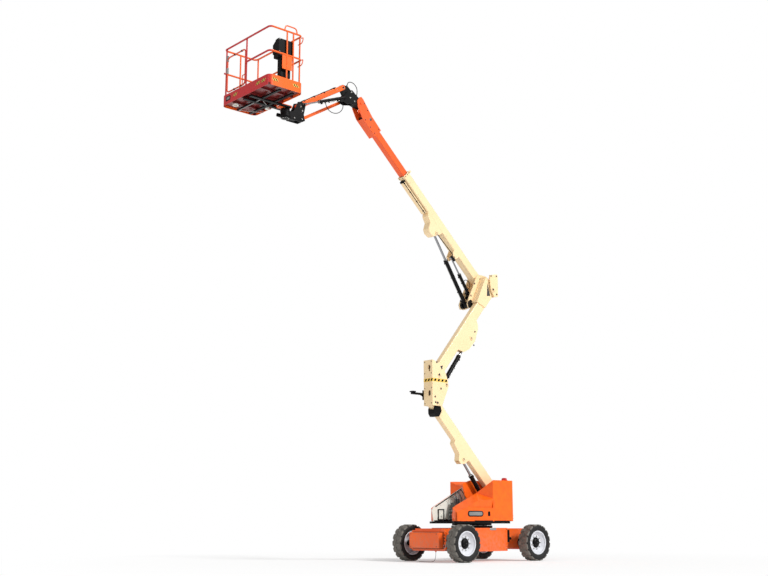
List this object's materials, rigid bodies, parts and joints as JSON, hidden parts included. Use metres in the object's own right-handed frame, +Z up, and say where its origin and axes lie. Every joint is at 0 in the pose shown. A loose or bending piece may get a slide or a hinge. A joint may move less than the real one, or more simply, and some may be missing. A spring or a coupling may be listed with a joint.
{
  "type": "articulating boom lift",
  "caption": "Electric articulating boom lift with a Z-folding tower, telescopic main boom, jib and rotating basket on a four-wheel chassis.",
  "frame": {"origin": "on the floor, on the turntable's swing axis", "axes": "+X forward along the booms at rest, +Y to the left, +Z up"},
  "size_m": [6.954, 1.75, 9.61],
  "materials": {
    "cream_paint": "gloss",
    "orange_paint": "gloss",
    "black_paint": "satin",
    "grey_panel": "satin",
    "wheel_silver": "satin",
    "tyre_rubber": "matte",
    "chrome": "gloss",
    "black_plastic": "matte"
  },
  "bodies": {
    "chassis": {"chassis_frame": "orange_paint", "swing_bearing": "black_paint", "front_cover": "orange_paint", "drive_hubs": "black_paint", "earth_strap": "black_paint"},
    "steer_left": {"knuckle_left": "black_paint"},
    "steer_right": {"knuckle_right": "black_paint"},
    "wheel_front_left": {"tyre_front_left": "tyre_rubber", "rim_front_left": "wheel_silver"},
    "wheel_front_right": {"tyre_front_right": "tyre_rubber", "rim_front_right": "wheel_silver"},
    "wheel_rear_left": {"tyre_rear_left": "tyre_rubber", "rim_rear_left": "wheel_silver"},
    "wheel_rear_right": {"tyre_rear_right": "tyre_rubber", "rim_rear_right": "wheel_silver"},
    "turntable": {"turntable_deck": "black_paint", "boom_pedestal": "orange_paint", "valve_block": "black_paint", "inner_panel_left": "grey_panel", "inner_panel_right": "grey_panel", "power_packs": "black_plastic"},
    "hood_left": {"hood_left": "orange_paint"},
    "hood_right": {"hood_right": "orange_paint"},
    "lower_boom": {"lower_boom": "cream_paint", "end_guards": "black_paint"},
    "lower_upright": {"lower_upright": "cream_paint", "boom_rest": "black_paint"},
    "mid_boom": {"mid_boom": "cream_paint"},
    "upper_upright": {"upper_upright": "cream_paint"},
    "main_boom": {"main_boom": "cream_paint", "hose_tray": "cream_paint"},
    "fly_boom": {"fly_boom": "orange_paint"},
    "jib_knuckle": {"jib_knuckle": "black_paint", "knuckle_hose": "black_paint"},
    "jib_boom": {"jib_boom": "orange_paint"},
    "jib_link": {"jib_link": "orange_paint"},
    "basket_support": {"basket_support": "black_paint"},
    "basket": {"basket_floor": "orange_paint", "basket_rails": "orange_paint", "console": "black_plastic"},
    "gate": {"gate": "orange_paint"},
    "lower_lift_barrel": {"lower_lift_barrel": "black_paint"},
    "lower_lift_rod": {"lower_lift_rod": "chrome"},
    "mid_lift_barrel": {"mid_lift_barrel": "black_paint"},
    "mid_lift_rod": {"mid_lift_rod": "chrome"},
    "main_lift_barrel": {"main_lift_barrel": "black_paint"},
    "main_lift_rod": {"main_lift_rod": "chrome"},
    "level_barrel": {"level_barrel": "black_paint", "level_hose": "black_paint"},
    "level_rod": {"level_rod": "chrome"},
    "jib_lift_barrel": {"jib_lift_barrel": "black_paint", "jib_hose": "black_paint"},
    "jib_lift_rod": {"jib_lift_rod": "chrome"}
  },
  "joints": [
    {"name": "steer_left", "type": "hinge", "parent": "chassis", "child": "steer_left", "pos_m": [1, 0.6, 0.355], "axis": [0, 0, 1], "range_deg": [-35, 35]},
    {"name": "steer_right", "type": "hinge", "parent": "chassis", "child": "steer_right", "pos_m": [1, -0.6, 0.355], "axis": [0, 0, 1], "range_deg": [-35, 35]},
    {"name": "wheel_front_left", "type": "hinge", "parent": "steer_left", "child": "wheel_front_left", "pos_m": [1, 0.755, 0.354], "axis": [0, 1, 0], "continuous": true},
    {"name": "wheel_front_right", "type": "hinge", "parent": "steer_right", "child": "wheel_front_right", "pos_m": [1, -0.755, 0.354], "axis": [0, 1, 0], "continuous": true},
    {"name": "wheel_rear_left", "type": "hinge", "parent": "chassis", "child": "wheel_rear_left", "pos_m": [-1, 0.755, 0.354], "axis": [0, 1, 0], "continuous": true},
    {"name": "wheel_rear_right", "type": "hinge", "parent": "chassis", "child": "wheel_rear_right", "pos_m": [-1, -0.755, 0.354], "axis": [0, 1, 0], "continuous": true},
    {"name": "swing", "type": "hinge", "parent": "chassis", "child": "turntable", "pos_m": [0, 0, 0.7], "axis": [0, 0, 1], "range_deg": [-180, 180]},
    {"name": "hood_left", "type": "hinge", "parent": "turntable", "child": "hood_left", "pos_m": [-0.47, 0.262, 1.565], "axis": [1, 0, 0], "range_deg": [0, 70]},
    {"name": "hood_right", "type": "hinge", "parent": "turntable", "child": "hood_right", "pos_m": [-0.47, -0.262, 1.565], "axis": [-1, 0, 0], "range_deg": [0, 70]},
    {"name": "lower_lift", "type": "hinge", "parent": "turntable", "child": "lower_boom", "pos_m": [-0.45, 0.11, 1.42], "axis": [0, -1, 0], "range_deg": [-42.5, 24.5]},
    {"name": "lower_upright", "type": "hinge", "parent": "lower_boom", "child": "lower_upright", "pos_m": [1.141, 0.11, 3.039], "axis": [0, -1, 0], "range_deg": [-24.5, 42.5]},
    {"name": "mid_lift", "type": "hinge", "parent": "lower_upright", "child": "mid_boom", "pos_m": [1.09, 0.11, 3.6], "axis": [0, 1, 0], "range_deg": [-48.5, 19.5]},
    {"name": "upper_upright", "type": "hinge", "parent": "mid_boom", "child": "upper_upright", "pos_m": [-0.5, 0.11, 5.53], "axis": [0, 1, 0], "range_deg": [-19.5, 48.5]},
    {"name": "main_lift", "type": "hinge", "parent": "upper_upright", "child": "main_boom", "pos_m": [-0.34, -0.115, 5.76], "axis": [0, -1, 0], "range_deg": [-43, 29]},
    {"name": "telescope", "type": "slide", "parent": "main_boom", "child": "fly_boom", "axis": [0.7314, 0, 0.682], "range_m": [-0.95, 0.95]},
    {"name": "jib_level", "type": "hinge", "parent": "fly_boom", "child": "jib_knuckle", "pos_m": [2.91017, -0.115, 8.87287], "axis": [0, -1, 0], "range_deg": [-29, 43]},
    {"name": "jib_lift", "type": "hinge", "parent": "jib_knuckle", "child": "jib_boom", "pos_m": [3.33, -0.115, 9.11], "axis": [0, -1, 0], "range_deg": [-28.5, 115.5]},
    {"name": "jib_link", "type": "hinge", "parent": "jib_knuckle", "child": "jib_link", "pos_m": [3.27, -0.21, 8.86], "axis": [0, -1, 0], "range_deg": [-28.5, 115.5]},
    {"name": "basket_level", "type": "hinge", "parent": "jib_boom", "child": "basket_support", "pos_m": [4.38727, -0.115, 8.4621], "axis": [0, -1, 0], "range_deg": [-115.5, 28.5]},
    {"name": "basket_rotate", "type": "hinge", "parent": "basket_support", "child": "basket", "pos_m": [4.68, -0.115, 8.33], "axis": [0, 0, 1], "range_deg": [-90, 90]},
    {"name": "gate", "type": "hinge", "parent": "basket", "child": "gate", "pos_m": [5.577, -0.15, 8.7], "axis": [0, 0, -1], "range_deg": [0, 85]},
    {"name": "lower_lift_barrel", "type": "hinge", "parent": "turntable", "child": "lower_lift_barrel", "pos_m": [-0.36, 0.11, 1.05], "axis": [0, -1, 0], "range_deg": [-36.14, 21.04]},
    {"name": "lower_lift_rod", "type": "slide", "parent": "lower_lift_barrel", "child": "lower_lift_rod", "axis": [0.6226, 0, 0.7825], "range_m": [-0.236, 0.1369]},
    {"name": "mid_lift_barrel", "type": "hinge", "parent": "lower_upright", "child": "mid_lift_barrel", "pos_m": [0.89, 0.11, 3.42], "axis": [0, -1, 0], "range_deg": [-20.79, 50.96]},
    {"name": "mid_lift_rod", "type": "slide", "parent": "mid_lift_barrel", "child": "mid_lift_rod", "axis": [-0.6074, 0, 0.7944], "range_m": [-0.2219, 0.0904]},
    {"name": "main_lift_barrel", "type": "hinge", "parent": "upper_upright", "child": "main_lift_barrel", "pos_m": [-0.03, -0.115, 5.185], "axis": [0, -1, 0], "range_deg": [-36.7, 24.91]},
    {"name": "main_lift_rod", "type": "slide", "parent": "main_lift_barrel", "child": "main_lift_rod", "axis": [0.5438, 0, 0.8392], "range_m": [-0.4432, 0.2995]},
    {"name": "level_barrel", "type": "hinge", "parent": "upper_upright", "child": "level_barrel", "pos_m": [-0.17, -0.115, 5.37], "axis": [0, -1, 0], "range_deg": [-34.32, 23.31]},
    {"name": "level_rod", "type": "slide", "parent": "level_barrel", "child": "level_rod", "axis": [0.5742, 0, 0.8187], "range_m": [-0.2925, 0.1979]},
    {"name": "jib_lift_barrel", "type": "hinge", "parent": "jib_knuckle", "child": "jib_lift_barrel", "pos_m": [3.33, -0.003, 8.88], "axis": [0, -1, 0], "range_deg": [-28.69, 114.75]},
    {"name": "jib_lift_rod", "type": "slide", "parent": "jib_lift_barrel", "child": "jib_lift_rod", "axis": [0.9311, 0, -0.3648], "range_m": [-0.1105, 0.4416]}
  ],
  "couplings": [
    {"joint": "steer_right", "follows": "steer_left", "ratio": 1},
    {"joint": "lower_upright", "follows": "lower_lift", "ratio": -1},
    {"joint": "upper_upright", "follows": "mid_lift", "ratio": -1},
    {"joint": "jib_level", "follows": "main_lift", "ratio": -1},
    {"joint": "jib_link", "follows": "jib_lift", "ratio": 1},
    {"joint": "basket_level", "follows": "jib_lift", "ratio": -1},
    {"joint": "lower_lift_barrel", "follows": "lower_lift", "ratio": 0.83847},
    {"joint": "lower_lift_rod", "follows": "lower_lift", "m_per_rad": 0.31542},
    {"joint": "mid_lift_barrel", "follows": "mid_lift", "ratio": -1.0403},
    {"joint": "mid_lift_rod", "follows": "mid_lift", "m_per_rad": 0.25976},
    {"joint": "main_lift_barrel", "follows": "main_lift", "ratio": 0.84182},
    {"joint": "main_lift_rod", "follows": "main_lift", "m_per_rad": 0.58782},
    {"joint": "level_barrel", "follows": "main_lift", "ratio": 0.7864},
    {"joint": "level_rod", "follows": "main_lift", "m_per_rad": 0.38703},
    {"joint": "jib_lift_barrel", "follows": "jib_lift", "ratio": 0.98915},
    {"joint": "jib_lift_rod", "follows": "jib_lift", "m_per_rad": 0.21808}
  ]
}
